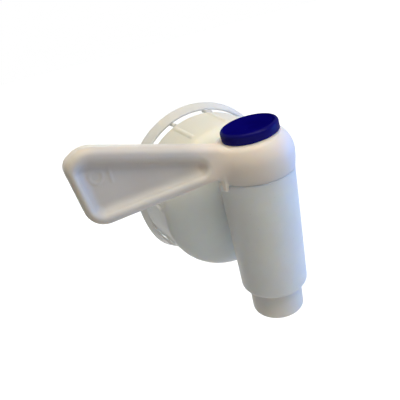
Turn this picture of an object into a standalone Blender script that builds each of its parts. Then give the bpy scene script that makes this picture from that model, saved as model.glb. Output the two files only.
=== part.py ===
"""Lever dispensing tap on a screw cap with a tamper band, for a detergent container.

Metres, +Z up. The origin is the centre of the neck gasket's outer face, on the cap's axis.
The container is towards +Y and the tap's barrel stands upright in front of the cap, towards -Y.
"""

import math

import bmesh
import bpy
from mathutils import Matrix, Vector

# Fit and smoothness
clearance = 0.0003
turned_steps = 50
small_steps = 32
pin_steps = 16
slot_steps = 12
arc_steps = 5
edge_bevel_steps = 2
seal_section_points = 10
weld_distance = 0.000005
flat_angle = math.radians(0.5)
sharp_angle = math.radians(35)

# Where the barrel stands: in front of the cap's dome, and with its top above the cap's axis
barrel_cap_gap = 0.00064
barrel_top_height = 0.0175

# Screw cap, measured along its axis from the gasket's outer face
skirt_rear_radius = 0.0310
skirt_front_radius = 0.0296
skirt_rear_depth = 0.0166
skirt_front_depth = -0.0045
skirt_wall = 0.0016
skirt_edge_rounding = 0.0004
dome_height = 0.0085
dome_wall = 0.0020
dome_points = 9
cap_boss_radius = 0.0130
cap_boss_length = 0.00326
gasket_thickness = 0.0020
gasket_width = 0.0053
gasket_side_gap = 0.00055
thread_bead_radius = 0.0010
thread_pitch = 0.0052
thread_turns = 1.6
thread_start_depth = 0.0045
thread_points_per_turn = 36
thread_bevel_steps = 1
grip_rib_count = 12
grip_rib_width = 0.0024
grip_rib_height = 0.0007
grip_rib_inset = 0.0014

# Tamper band
band_offset = 0.0013
band_flare = 0.0022
band_length = 0.0051
band_gap = 0.0013
band_wall = 0.0012
band_catch = 0.0011
band_catch_place = 0.6
bridge_count = 12
bridge_width_narrow = 0.0024
bridge_width_wide = 0.0040
bridge_hold = 0.0006
first_bridge_angle = math.radians(18)

# Tap body
barrel_top_radius = 0.0132
barrel_bottom_radius = 0.0125
barrel_length = 0.0456
barrel_end_rounding = 0.0010
barrel_lip = 0.0030
spigot_radius = 0.0080
spigot_overhang = 0.0041
inlet_bore_radius = 0.0048
index_lug_width = 0.0018
index_lug_height = 0.0022
index_lug_projection = 0.0011
index_lug_angle = math.radians(181)

# Valve spool, whose lower end is the nozzle
spool_radius = 0.0099
nozzle_projection = 0.0123
nozzle_chamfer = 0.0005
spool_bore_radius = 0.0072
spool_crown = 0.0047
spool_journal_radius = 0.0065
port_radius = 0.0047
stem_step = 0.0003

# Seals of round section, and the groove allowance round them
oring_section_radius = 0.00055
swivel_oring_section_radius = 0.00065
groove_side_gap = 0.0004
upper_oring_drop = 0.0056
lower_oring_drop = 0.0275
seat_width = 0.0018
seat_length = 0.0030

# Retaining clip on the spigot
clip_radius = 0.0115
clip_thickness = 0.0018
clip_groove_depth = 0.0010
clip_mouth = 0.0095

# Lever
hub_overhang = 0.0002
hub_belly = 0.0004
hub_belly_height = 0.0055
hub_height = 0.01265
hub_top_lean = math.radians(4.5)
hub_dome_points = 16
lever_reach = 0.0590
lever_end_lean = 0.0015
lever_underside = 0.0020
lever_root_top = 0.0110
lever_tip_top = 0.0274
lever_tip_top_reach = 0.0545
lever_thickness = 0.0074
lever_edge_rounding = 0.0021
lever_corner_radius = 0.0066
rim_width = 0.0036
recess_start = 0.0180
recess_corner_radius = 0.0040
recess_root_radius = 0.0026
recess_edge_rounding = 0.0012
web_thickness = 0.0022
paddle_root = 0.0060
hub_web = 0.0023
nib_width = 0.0020
nib_depth = 0.0018
nib_projection = 0.0013
nib_angle = math.radians(193)

# Stop peg on the barrel's top, in an arc slot under the hub
turn_range = math.radians(90)
peg_radius = 0.0011
peg_height = 0.0030
peg_circle = 0.0098
peg_angle = math.radians(135)

# Lever screw and the coloured button over it
screw_head_radius = 0.0034
screw_head_height = 0.0020
screw_head_room = 0.0006
screw_shank_radius = 0.0012
screw_length = 0.0095
screw_point = 0.0016
cross_width = 0.0008
cross_span = 0.0040
cross_depth = 0.0011
button_radius = 0.0095
button_thickness = 0.0028
button_edge_rounding = 0.0006
button_dish = 0.0003
button_rim = 0.0012
button_skirt_radius = 0.0073
button_skirt_wall = 0.0011
button_skirt_length = 0.0030

# Sizes that follow from the ones above
skirt_draft = (skirt_rear_radius - skirt_front_radius) / (skirt_rear_depth - skirt_front_depth)
gasket_seat_depth = -(gasket_thickness + clearance)
gasket_seat_radius = skirt_front_radius + skirt_draft * (gasket_seat_depth - skirt_front_depth) - skirt_wall
gasket_outer_radius = gasket_seat_radius - gasket_side_gap
gasket_inner_radius = gasket_outer_radius - gasket_width
seal_ledge_radius = gasket_inner_radius - clearance
bore_radius = spool_radius + clearance
spigot_hole_radius = spigot_radius + clearance
dome_share_at_hole = math.sqrt(1 - (spigot_hole_radius / skirt_front_radius) ** 2)
dome_front_depth = skirt_front_depth - dome_height * dome_share_at_hole
cap_boss_depth = dome_front_depth + cap_boss_length
spigot_end_depth = cap_boss_depth + spigot_overhang
barrel_reach = barrel_top_radius + barrel_cap_gap - dome_front_depth
hub_base_radius = barrel_top_radius + hub_overhang
hub_belly_radius = hub_base_radius + hub_belly
journal_hole_radius = spool_journal_radius + clearance
stem_corner_radius = spool_journal_radius - stem_step
oring_circle = spool_radius - oring_section_radius
oring_groove_radius = oring_circle - oring_section_radius - clearance
swivel_oring_circle = spigot_radius - swivel_oring_section_radius
swivel_groove_radius = swivel_oring_circle - swivel_oring_section_radius - clearance
seat_radius = inlet_bore_radius + seat_width
clip_groove_radius = spigot_radius - clip_groove_depth
clip_front_depth = cap_boss_depth + clearance
band_front_radius = skirt_rear_radius + band_offset
band_rear_radius = band_front_radius + band_flare
band_front_depth = skirt_rear_depth + band_gap
band_rear_depth = band_front_depth + band_length
nozzle_end = -(barrel_length + nozzle_projection)
button_pocket_radius = button_skirt_radius + clearance
button_pocket_depth = button_skirt_length + clearance
screw_recess_radius = screw_head_radius + screw_head_room
screw_recess_floor = hub_height - button_pocket_depth - screw_recess_radius * math.tan(hub_top_lean)
hub_web_bottom = screw_recess_floor - hub_web
stem_length = hub_web_bottom - clearance
screw_hole_radius = screw_shank_radius + clearance


def clear_scene():
    for obj in list(bpy.data.objects):
        bpy.data.objects.remove(obj)


def make_collection(name):
    collection = bpy.data.collections.new(name)
    bpy.context.scene.collection.children.link(collection)
    return collection


def make_material(name, colour, roughness, metallic=0.0):
    material = bpy.data.materials.new(name)
    material.use_nodes = True
    material.diffuse_color = (*colour, 1.0)
    shader = material.node_tree.nodes["Principled BSDF"]
    shader.inputs["Base Color"].default_value = (*colour, 1.0)
    shader.inputs["Roughness"].default_value = roughness
    shader.inputs["Metallic"].default_value = metallic
    return material


def make_axis(name, location, rotation=(0.0, 0.0, 0.0), parent=None):
    axis = bpy.data.objects.new(name, None)
    axis.parent = parent
    axis.location = location
    axis.rotation_euler = rotation
    parts.objects.link(axis)
    return axis


def add_object(name, mesh, axis, material=None, location=(0.0, 0.0, 0.0), rotation=(0.0, 0.0, 0.0)):
    """A part where a material is given, and otherwise a helper shape for a Boolean."""
    obj = bpy.data.objects.new(name, mesh)
    obj.parent = axis
    obj.location = location
    obj.rotation_euler = rotation
    if material:
        mesh.materials.append(material)
        parts.objects.link(obj)
    else:
        obj.hide_render = True
        obj.display_type = "WIRE"
        cutters.objects.link(obj)
    return obj


def turned(name, profile, axis, material=None, closed=True, steps=turned_steps, **place):
    """A profile of (radius, height) points, running down its outer side, turned about local Z."""
    mesh = bpy.data.meshes.new(name)
    points = [(radius, 0.0, height) for radius, height in profile]
    edges = [(i, i + 1) for i in range(len(points) - 1)]
    if closed:
        edges.append((len(points) - 1, 0))
    mesh.from_pydata(points, edges, [])
    obj = add_object(name, mesh, axis, material, **place)
    screw = obj.modifiers.new("turn", "SCREW")
    screw.axis = "Z"
    screw.angle = math.tau
    screw.steps = steps
    screw.render_steps = steps
    screw.use_merge_vertices = True
    screw.merge_threshold = weld_distance
    screw.use_smooth_shade = True
    return obj


def cylinder(name, radius, low, high, axis, sides=turned_steps, **place):
    """A helper cylinder along local Z, from low to high."""
    mesh = bpy.data.meshes.new(name)
    shape = bmesh.new()
    bmesh.ops.create_cone(
        shape, cap_ends=True, segments=sides, radius1=radius, radius2=radius, depth=high - low,
        matrix=Matrix.Translation((0.0, 0.0, (low + high) / 2)),
    )
    shape.to_mesh(mesh)
    shape.free()
    return add_object(name, mesh, axis, **place)


def boxes(name, places, axis):
    """Helper boxes, each given as its matrix and its three side lengths."""
    mesh = bpy.data.meshes.new(name)
    shape = bmesh.new()
    for matrix, sides in places:
        bmesh.ops.create_cube(shape, size=1.0, matrix=matrix @ Matrix.Diagonal((*sides, 1.0)))
    shape.to_mesh(mesh)
    shape.free()
    return add_object(name, mesh, axis)


def ring_section(name, circle, section, height, axis, material):
    """A seal of round section on a circle about local Z."""
    profile = arc((circle, height), section, math.tau, 0.0, seal_section_points)[1:]
    return turned(name, profile, axis, material, steps=small_steps)


def mesh_from_curve(curve_object):
    """A mesh object in the curve's place, with the curve's loose caps welded on."""
    bpy.context.view_layer.update()
    graph = bpy.context.evaluated_depsgraph_get()
    mesh = bpy.data.meshes.new_from_object(curve_object.evaluated_get(graph))
    shape = bmesh.new()
    shape.from_mesh(mesh)
    bmesh.ops.remove_doubles(shape, verts=shape.verts, dist=weld_distance)
    bmesh.ops.dissolve_limit(shape, angle_limit=flat_angle, verts=shape.verts, edges=shape.edges)
    bmesh.ops.recalc_face_normals(shape, faces=shape.faces)
    shape.to_mesh(mesh)
    shape.free()
    name = curve_object.name
    axis = curve_object.parent
    rotation = tuple(curve_object.rotation_euler)
    bpy.data.objects.remove(curve_object)
    return add_object(name, mesh, axis, rotation=rotation)


def boolean(obj, other, operation):
    modifier = obj.modifiers.new(other.name, "BOOLEAN")
    modifier.operation = operation
    modifier.object = other


def join(obj, *others):
    for other in others:
        boolean(obj, other, "UNION")


def cut(obj, *others):
    for other in others:
        boolean(obj, other, "DIFFERENCE")


def arc(centre, radius, start, end, steps=arc_steps):
    """Points on an arc, angles in radians, both ends included."""
    angles = [start + (end - start) * i / steps for i in range(steps + 1)]
    return [(centre[0] + radius * math.cos(a), centre[1] + radius * math.sin(a)) for a in angles]


def rounded_corners(corners, radii):
    """The outline through these corners with each one rounded to its radius."""
    outline = []
    count = len(corners)
    for i, radius in enumerate(radii):
        here = Vector(corners[i])
        before = (Vector(corners[i - 1]) - here).normalized()
        after = (Vector(corners[(i + 1) % count]) - here).normalized()
        half = before.angle(after) / 2
        centre = here + (before + after).normalized() * (radius / math.sin(half))
        first = here + before * (radius / math.tan(half)) - centre
        last = here + after * (radius / math.tan(half)) - centre
        turn = first.angle_signed(last)
        for step in range(arc_steps + 1):
            swing = Matrix.Rotation(-turn * step / arc_steps, 2)
            outline.append(tuple(centre + swing @ first))
    return outline


def plate(name, outline, thickness, rounding, axis, offset=0.0):
    """A flat plate with rounded edges, its outline in local X and Z, centred at local Y = offset."""
    curve = bpy.data.curves.new(name, "CURVE")
    curve.dimensions = "2D"
    curve.fill_mode = "BOTH"
    curve.extrude = thickness / 2 - rounding
    curve.bevel_depth = rounding
    curve.bevel_resolution = edge_bevel_steps
    curve.offset = -rounding
    spline = curve.splines.new("POLY")
    spline.points.add(len(outline) - 1)
    for point, (x, y) in zip(spline.points, outline):
        point.co = (x, y, 0.0, 1.0)
    spline.use_cyclic_u = True
    curve_object = bpy.data.objects.new(name, curve)
    curve_object.parent = axis
    curve_object.rotation_euler = (math.pi / 2, 0.0, 0.0)
    cutters.objects.link(curve_object)
    obj = mesh_from_curve(curve_object)
    obj.location.y = offset
    return obj


def around(angle, radius, height):
    """A frame on a circle about local Z: its X points outwards."""
    return Matrix.Rotation(angle, 4, "Z") @ Matrix.Translation((radius, 0.0, height))


def cap_angle(angle):
    """An angle from the top of the cap towards -X, turned into one about the cap's local Z."""
    return -math.pi / 2 - angle


def skirt_radius_at(depth):
    return skirt_front_radius + skirt_draft * (depth - skirt_front_depth)


def dome_depth_at(radius, edge_radius, edge_depth):
    return edge_depth - dome_height * math.sqrt(1 - (radius / edge_radius) ** 2)


def build_screw_cap():
    inner_edge = skirt_front_radius - dome_wall
    hole_angle = math.acos(spigot_hole_radius / skirt_front_radius)
    outer_dome = [
        (skirt_front_radius * math.cos(hole_angle * i / dome_points),
         skirt_front_depth - dome_height * math.sin(hole_angle * i / dome_points))
        for i in range(dome_points + 1)
    ]
    inner_dome = []
    for i in range(dome_points // 2 + 1):
        radius = cap_boss_radius + (seal_ledge_radius - cap_boss_radius) * i / (dome_points // 2)
        inner_dome.append((radius, dome_depth_at(radius, inner_edge, skirt_front_depth + dome_wall)))
    rear_inner = skirt_rear_radius - skirt_wall
    profile = [
        (rear_inner, skirt_rear_depth),
        (skirt_rear_radius - skirt_edge_rounding, skirt_rear_depth),
        (skirt_rear_radius, skirt_rear_depth - skirt_edge_rounding),
    ]
    profile += outer_dome
    profile += [(spigot_hole_radius, cap_boss_depth), (cap_boss_radius, cap_boss_depth)]
    profile += inner_dome
    profile += [
        (seal_ledge_radius, gasket_seat_depth),
        (gasket_seat_radius, gasket_seat_depth),
    ]
    cap = turned("screw_cap", profile, cap_axis, white_cap)

    draft = math.atan(skirt_draft)
    rib_length = skirt_rear_depth - skirt_front_depth - 2 * grip_rib_inset
    rib_middle = (skirt_rear_depth + skirt_front_depth) / 2
    ribs = []
    for i in range(grip_rib_count):
        angle = cap_angle(first_bridge_angle + i * math.tau / grip_rib_count)
        frame = around(angle, skirt_radius_at(rib_middle), rib_middle) @ Matrix.Rotation(draft, 4, "Y")
        ribs.append((frame, (2 * grip_rib_height, grip_rib_width, rib_length)))
    join(cap, boxes("grip_ribs", ribs, cap_axis))
    join(cap, thread_bead())


def thread_bead():
    """The rounded helical bead inside the skirt, sunk to its middle in the wall."""
    curve = bpy.data.curves.new("thread_bead", "CURVE")
    curve.dimensions = "3D"
    curve.bevel_depth = thread_bead_radius
    curve.bevel_resolution = thread_bevel_steps
    curve.use_fill_caps = True
    count = round(thread_turns * thread_points_per_turn)
    spline = curve.splines.new("POLY")
    spline.points.add(count)
    for i, point in enumerate(spline.points):
        turn = i / thread_points_per_turn
        depth = thread_start_depth + thread_pitch * turn
        radius = skirt_radius_at(depth) - skirt_wall
        angle = turn * math.tau
        point.co = (radius * math.cos(angle), radius * math.sin(angle), depth, 1.0)
    curve_object = bpy.data.objects.new("thread_bead", curve)
    curve_object.parent = cap_axis
    cutters.objects.link(curve_object)
    return mesh_from_curve(curve_object)


def build_tamper_band():
    catch_depth = band_front_depth + band_catch_place * band_length
    catch_outside = band_front_radius + band_catch_place * (band_rear_radius - band_front_radius)
    catch_radius = catch_outside - band_wall
    band = turned("tamper_band", [
        (band_rear_radius - band_wall, band_rear_depth),
        (band_rear_radius, band_rear_depth),
        (band_front_radius, band_front_depth),
        (band_front_radius - band_wall, band_front_depth),
        (catch_radius, catch_depth - band_catch),
        (catch_radius - band_catch, catch_depth),
        (catch_radius, catch_depth + band_catch / 2),
    ], cap_axis, clear_band)
    bridge_start = skirt_rear_depth + clearance
    bridge_end = band_front_depth + bridge_hold
    bridge_inside = skirt_rear_radius - bridge_hold
    bridge_outside = band_front_radius - band_wall / 2
    bridges = []
    for i in range(bridge_count):
        angle = cap_angle(first_bridge_angle + i * math.tau / bridge_count)
        width = bridge_width_wide if i % 2 else bridge_width_narrow
        frame = around(angle, (bridge_inside + bridge_outside) / 2, (bridge_start + bridge_end) / 2)
        bridges.append((frame, (bridge_outside - bridge_inside, width, bridge_end - bridge_start)))
    join(band, boxes("bridges", bridges, cap_axis))


def build_neck_gasket():
    turned("neck_gasket", [
        (gasket_inner_radius, 0.0),
        (gasket_outer_radius, 0.0),
        (gasket_outer_radius, -gasket_thickness),
        (gasket_inner_radius, -gasket_thickness),
    ], cap_axis, pale_gasket)


def build_tap_body():
    end_curve = arc(
        (barrel_bottom_radius - barrel_end_rounding, -barrel_length + barrel_end_rounding),
        barrel_end_rounding, 0.0, -math.pi / 2,
    )
    body = turned("tap_body", [(0.0, 0.0), (barrel_top_radius, 0.0), *end_curve, (0.0, -barrel_length)],
                  barrel_axis, white_body, closed=False)
    spigot_length = barrel_reach + spigot_end_depth
    to_container = {"location": (0.0, 0.0, -barrel_top_height), "rotation": (-math.pi / 2, 0.0, 0.0)}
    join(body, cylinder("spigot", spigot_radius, 0.0, spigot_length, barrel_axis, **to_container))

    lug_size = (2 * index_lug_projection, index_lug_width, index_lug_height)
    lug_frame = around(index_lug_angle, barrel_top_radius, -clearance - index_lug_height / 2)
    join(body, boxes("index_lug", [(lug_frame, lug_size)], barrel_axis))
    peg_place = (peg_circle * math.cos(peg_angle), peg_circle * math.sin(peg_angle), 0.0)
    join(body, cylinder("stop_peg", peg_radius, -barrel_lip / 2, peg_height, barrel_axis,
                        sides=pin_steps, location=peg_place))

    past_end = barrel_length + clearance
    cut(body, cylinder("barrel_bore", bore_radius, -past_end, -barrel_lip, barrel_axis))
    cut(body, cylinder("journal_hole", journal_hole_radius, -2 * barrel_lip, peg_height, barrel_axis))
    cut(body, cylinder("inlet_bore", inlet_bore_radius, 0.0, spigot_length + clearance, barrel_axis,
                       **to_container))
    seat_end = bore_radius + seat_length
    cut(body, cylinder("seat_pocket", seat_radius + clearance, 0.0, seat_end + clearance, barrel_axis,
                       **to_container))
    cut(body, spigot_groove("swivel_groove", swivel_groove_radius, swivel_oring_depth(),
                            swivel_oring_section_radius + groove_side_gap))
    cut(body, spigot_groove("clip_groove", clip_groove_radius, clip_front_depth + clip_thickness / 2,
                            clip_thickness / 2 + clearance))

    seat = turned("inlet_seat", [
        (inlet_bore_radius, seat_end),
        (seat_radius, seat_end),
        (seat_radius, bore_radius / 2),
        (inlet_bore_radius, bore_radius / 2),
    ], barrel_axis, dark_rubber, **to_container)
    cut(seat, cylinder("spool_sweep", bore_radius, -barrel_length, 0.0, barrel_axis))


def swivel_oring_depth():
    """Half way along the cap's spigot hole."""
    return (dome_front_depth + cap_boss_depth) / 2


def spigot_groove(name, floor_radius, middle, half_width):
    outside = spigot_hole_radius + clearance
    return turned(name, [
        (floor_radius, middle + half_width),
        (outside, middle + half_width),
        (outside, middle - half_width),
        (floor_radius, middle - half_width),
    ], cap_axis)


def build_swivel_pieces():
    ring_section("swivel_oring", swivel_oring_circle, swivel_oring_section_radius,
                 swivel_oring_depth(), cap_axis, dark_rubber)
    inner_radius = clip_groove_radius + clearance
    clip = turned("retaining_clip", [
        (inner_radius, clip_front_depth + clip_thickness),
        (clip_radius, clip_front_depth + clip_thickness),
        (clip_radius, clip_front_depth),
        (inner_radius, clip_front_depth),
    ], cap_axis, white_clip)
    middle = clip_front_depth + clip_thickness / 2
    mouth_frame = Matrix.Translation((0.0, clip_radius / 2 + inner_radius / 2, middle))
    cut(clip, boxes("clip_mouth", [(mouth_frame, (clip_mouth, clip_radius, 2 * clip_thickness))], cap_axis))


def build_valve_spool():
    half_groove = oring_section_radius + groove_side_gap
    shoulder = -(barrel_lip + clearance)
    profile = [(0.0, clearance), (spool_journal_radius, clearance),
               (spool_journal_radius, shoulder), (spool_radius, shoulder)]
    for drop in (upper_oring_drop, lower_oring_drop):
        profile += [
            (spool_radius, -drop + half_groove),
            (oring_groove_radius, -drop + half_groove),
            (oring_groove_radius, -drop - half_groove),
            (spool_radius, -drop - half_groove),
        ]
    bore_top = shoulder - spool_crown
    profile += [
        (spool_radius, nozzle_end + nozzle_chamfer),
        (spool_radius - nozzle_chamfer, nozzle_end),
        (spool_bore_radius, nozzle_end),
        (spool_bore_radius, bore_top),
        (0.0, bore_top),
    ]
    spool = turned("valve_spool", profile, barrel_axis, white_spool, closed=False)
    join(spool, cylinder("stem", stem_corner_radius, 0.0, stem_length, barrel_axis, sides=6))
    cut(spool, cylinder("port", port_radius, 0.0, bore_radius, barrel_axis, sides=small_steps,
                        location=(0.0, 0.0, -barrel_top_height), rotation=(0.0, math.pi / 2, 0.0)))
    pilot_end = screw_seat() - screw_length - clearance
    cut(spool, cylinder("pilot_hole", screw_hole_radius, pilot_end, stem_length + clearance,
                        barrel_axis, sides=pin_steps))
    for name, drop in (("upper_oring", upper_oring_drop), ("lower_oring", lower_oring_drop)):
        ring_section(name, oring_circle, oring_section_radius, -drop, barrel_axis, dark_rubber)


def screw_seat():
    """The underside of the screw's head, above the hub's web."""
    return screw_recess_floor + clearance


def build_lever():
    dome = arc((0.0, hub_belly_height), hub_belly_radius, math.pi / 2, 0.0, hub_dome_points)
    lever = turned("lever", [*dome, (hub_base_radius, clearance), (0.0, clearance)],
                   barrel_axis, white_lever, closed=False)
    cut(lever, cylinder("hub_top", 2 * hub_belly_radius, 0.0, 2 * hub_belly_radius, button_axis))

    slope = (lever_tip_top - lever_root_top) / (lever_tip_top_reach - paddle_root)
    top_at_end = lever_tip_top + slope * (lever_reach - lever_tip_top_reach)
    outline = rounded_corners([
        (-paddle_root, lever_underside),
        (-paddle_root, lever_root_top),
        (-lever_reach, top_at_end),
        (-lever_reach + lever_end_lean, lever_underside),
    ], [lever_edge_rounding, lever_edge_rounding, lever_corner_radius, lever_corner_radius])
    paddle = plate("paddle", outline, lever_thickness, lever_edge_rounding, barrel_axis)

    recess_slope_drop = rim_width / math.cos(math.atan(slope))
    end_lean_slope = lever_end_lean / (top_at_end - lever_underside)
    recess_top_start = lever_root_top + slope * (recess_start - paddle_root) - recess_slope_drop
    recess_end = lever_reach - rim_width
    recess_top_end = lever_root_top + slope * (recess_end - paddle_root) - recess_slope_drop
    recess_floor = lever_underside + rim_width
    recess = rounded_corners([
        (-recess_start, recess_floor),
        (-recess_start, recess_top_start),
        (-recess_end, recess_top_end),
        (-recess_end + end_lean_slope * (recess_top_end - recess_floor), recess_floor),
    ], [recess_root_radius, recess_root_radius, recess_corner_radius, recess_corner_radius])
    for name, side in (("front_recess", -1), ("rear_recess", 1)):
        middle = side * (web_thickness / 2 + lever_thickness / 2)
        cut(paddle, plate(name, recess, lever_thickness, recess_edge_rounding, barrel_axis, middle))
    join(lever, paddle)

    nib_height = lever_underside + lever_edge_rounding + nib_depth
    nib_inner = barrel_top_radius + clearance
    nib_frame = around(nib_angle, nib_inner + nib_projection / 2, -nib_depth + nib_height / 2)
    join(lever, boxes("closed_stop_nib", [(nib_frame, (nib_projection, nib_width, nib_height))], barrel_axis))

    cut(lever, cylinder("stem_socket", stem_corner_radius + 2 * clearance, -clearance, hub_web_bottom,
                        barrel_axis, sides=6))
    cut(lever, turned("button_pocket", [
        (0.0, hub_height),
        (button_radius + clearance, hub_height),
        (button_radius + clearance, clearance / 2),
        (button_pocket_radius, clearance / 2),
        (button_pocket_radius, -button_pocket_depth),
        (0.0, -button_pocket_depth),
    ], button_axis, closed=False))
    cut(lever, cylinder("screw_recess", screw_recess_radius, screw_recess_floor, hub_height, barrel_axis,
                        sides=small_steps))
    cut(lever, cylinder("screw_hole", screw_hole_radius, 0.0, hub_height, barrel_axis, sides=pin_steps))
    cut(lever, arc_slot())


def arc_slot():
    """The slot under the hub that the stop peg runs in, one range of travel long."""
    half_width = peg_radius + clearance
    overrun = half_width / peg_circle
    start = peg_angle - turn_range - overrun
    mesh = bpy.data.meshes.new("arc_slot")
    shape = bmesh.new()
    bottom = -clearance
    top = peg_height + clearance
    corners = [
        (peg_circle - half_width, bottom), (peg_circle + half_width, bottom),
        (peg_circle + half_width, top), (peg_circle - half_width, top),
    ]
    points = [shape.verts.new((r * math.cos(start), r * math.sin(start), z)) for r, z in corners]
    face = shape.faces.new(points)
    bmesh.ops.spin(shape, geom=[*points, *face.edges, face], cent=(0.0, 0.0, 0.0), axis=(0.0, 0.0, 1.0),
                   angle=turn_range + 2 * overrun, steps=slot_steps, use_duplicate=False)
    bmesh.ops.recalc_face_normals(shape, faces=shape.faces)
    shape.to_mesh(mesh)
    shape.free()
    return add_object("arc_slot", mesh, barrel_axis)


def build_lever_screw():
    seat = screw_seat()
    tip = seat - screw_length
    screw = turned("lever_screw", [
        (0.0, seat + screw_head_height),
        (screw_head_radius / 2, seat + screw_head_height),
        (screw_head_radius, seat + screw_head_height / 2),
        (screw_head_radius, seat),
        (screw_shank_radius, seat),
        (screw_shank_radius, tip + screw_point),
        (0.0, tip),
    ], barrel_axis, plain_steel, closed=False, steps=small_steps)
    middle = Matrix.Translation((0.0, 0.0, seat + screw_head_height))
    arms = [(cross_span, cross_width), (cross_width, cross_span)]
    for name, (x, y) in zip(("cross_arm_a", "cross_arm_b"), arms):
        cut(screw, boxes(name, [(middle, (x, y, 2 * cross_depth))], barrel_axis))


def build_button():
    bottom = clearance
    top = bottom + button_thickness
    edge = arc((button_radius - button_edge_rounding, top - button_edge_rounding), button_edge_rounding,
               math.pi / 2, 0.0)
    skirt_inner = button_skirt_radius - button_skirt_wall
    turned("button", [
        (0.0, top - button_dish),
        (button_radius - button_rim - button_edge_rounding, top - button_dish),
        *edge,
        (button_radius, bottom),
        (button_skirt_radius, bottom),
        (button_skirt_radius, -button_skirt_length),
        (skirt_inner, -button_skirt_length),
        (skirt_inner, bottom),
        (0.0, bottom),
    ], button_axis, blue_button, closed=False)


clear_scene()
parts = make_collection("dispensing_tap")
cutters = make_collection("tap_cutters")

white_cap = make_material("white_cap", (0.90, 0.89, 0.85), 0.35)
white_body = make_material("white_body", (0.88, 0.88, 0.86), 0.35)
white_spool = make_material("white_spool", (0.86, 0.86, 0.84), 0.38)
white_lever = make_material("white_lever", (0.90, 0.88, 0.84), 0.32)
white_clip = make_material("white_clip", (0.90, 0.90, 0.90), 0.40)
clear_band = make_material("clear_band", (0.88, 0.88, 0.86), 0.30)
pale_gasket = make_material("pale_gasket", (0.80, 0.80, 0.76), 0.70)
dark_rubber = make_material("dark_rubber", (0.02, 0.02, 0.02), 0.60)
plain_steel = make_material("plain_steel", (0.60, 0.60, 0.62), 0.30, 1.0)
blue_button = make_material("blue_button", (0.02, 0.01, 0.22), 0.18)

# The cap's axis points into the container, and the barrel's axis is the lever's hinge.
# The button's axis stands square on the hub's top, which falls towards the lever.
cap_axis = make_axis("cap_axis", (0.0, 0.0, 0.0), (-math.pi / 2, 0.0, 0.0))
barrel_axis = make_axis("barrel_axis", (0.0, -barrel_reach, barrel_top_height))
button_axis = make_axis("button_axis", (0.0, 0.0, hub_height), (0.0, -hub_top_lean, 0.0), barrel_axis)

build_screw_cap()
build_tamper_band()
build_neck_gasket()
build_tap_body()
build_swivel_pieces()
build_valve_spool()
build_lever()
build_lever_screw()
build_button()

for part in parts.objects:
    if part.type == "MESH":
        part.data.shade_smooth()
        part.data.set_sharp_from_angle(angle=sharp_angle)
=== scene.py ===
import math

import bmesh
import bpy
import numpy as np
from mathutils import Matrix, Vector


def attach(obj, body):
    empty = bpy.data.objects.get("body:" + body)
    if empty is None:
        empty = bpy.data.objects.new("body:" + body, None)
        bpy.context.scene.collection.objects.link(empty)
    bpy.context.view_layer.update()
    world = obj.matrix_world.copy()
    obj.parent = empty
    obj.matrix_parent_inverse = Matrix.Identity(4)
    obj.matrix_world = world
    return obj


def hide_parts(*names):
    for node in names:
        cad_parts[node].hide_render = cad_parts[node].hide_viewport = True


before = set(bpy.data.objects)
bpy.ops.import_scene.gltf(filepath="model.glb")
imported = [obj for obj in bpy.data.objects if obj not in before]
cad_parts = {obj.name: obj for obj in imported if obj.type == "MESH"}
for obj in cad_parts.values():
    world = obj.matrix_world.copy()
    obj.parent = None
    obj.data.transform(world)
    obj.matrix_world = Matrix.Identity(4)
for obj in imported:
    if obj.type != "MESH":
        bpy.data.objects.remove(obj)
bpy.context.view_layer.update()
scene = bpy.context.scene
scene.view_settings.view_transform = "Standard"
print("frame loaded,", len(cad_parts), "solids")

# sizes are millimetres until a mesh is put in its place
mm = 0.001
capPlace = Matrix(((mm, 0, 0, 0), (0, 0, mm, 0), (0, -mm, 0, 0), (0, 0, 0, 1)))  # for pieces turned about world Y
barrelPlace = Matrix.Translation((0, -0.0265, 0.0175)) @ Matrix.Scale(mm, 4)  # zero is the barrel's top
hubTop, hubLean = 12.65, math.radians(4.5)  # the button's seat tilts towards the paddle
buttonPlace = barrelPlace @ Matrix.Translation((0, 0, hubTop)) @ Matrix.Rotation(-hubLean, 4, "Y")


def addNode(tree, kind, links=None, **settings):
    node = tree.nodes.new(kind)
    for key, value in settings.items():
        setattr(node, key, value)
    for key, value in (links or {}).items():
        if isinstance(value, bpy.types.NodeSocket):
            tree.links.new(value, node.inputs[key])
        else:
            node.inputs[key].default_value = value
    return node


def maths(tree, operation, *values):
    return addNode(tree, "ShaderNodeMath", dict(enumerate(values)), operation=operation).outputs[0]


def easeBetween(tree, value, low, high, start=0.0, end=1.0):
    node = addNode(tree, "ShaderNodeMapRange", {0: value, 1: low, 2: high, 3: start, 4: end})
    node.interpolation_type = "SMOOTHSTEP"
    return node.outputs[0]


def mixColours(tree, share, one, two):
    one, two = [c if isinstance(c, bpy.types.NodeSocket) else (*c, 1.0) for c in (one, two)]
    return addNode(tree, "ShaderNodeMix", {0: share, 6: one, 7: two}, data_type="RGBA").outputs[2]


def awayFromBarrel(tree, place):
    flat = addNode(tree, "ShaderNodeVectorMath", {0: place, 1: (1.0, 1.0, 0.0)}, operation="MULTIPLY").outputs[0]
    return addNode(tree, "ShaderNodeVectorMath", {0: flat, 1: barrelPlace.translation.xy.to_3d()},
                   operation="DISTANCE").outputs["Value"]


def newGroup(name, kind, inputs, outputs):
    group = bpy.data.node_groups.new(name, kind)
    for label, socketKind, value in inputs:
        socket = group.interface.new_socket(label, in_out="INPUT", socket_type=socketKind)
        if value is not None:
            socket.default_value = value
    for label, socketKind in outputs:
        group.interface.new_socket(label, in_out="OUTPUT", socket_type=socketKind)
    start = group.nodes.new("NodeGroupInput")
    end = group.nodes.new("NodeGroupOutput")
    return group, start.outputs, end.inputs


floatKind, vectorKind = "NodeSocketFloat", "NodeSocketVector"
shapeKind, materialKind, wholeKind = "NodeSocketGeometry", "NodeSocketMaterial", "NodeSocketInt"


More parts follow.
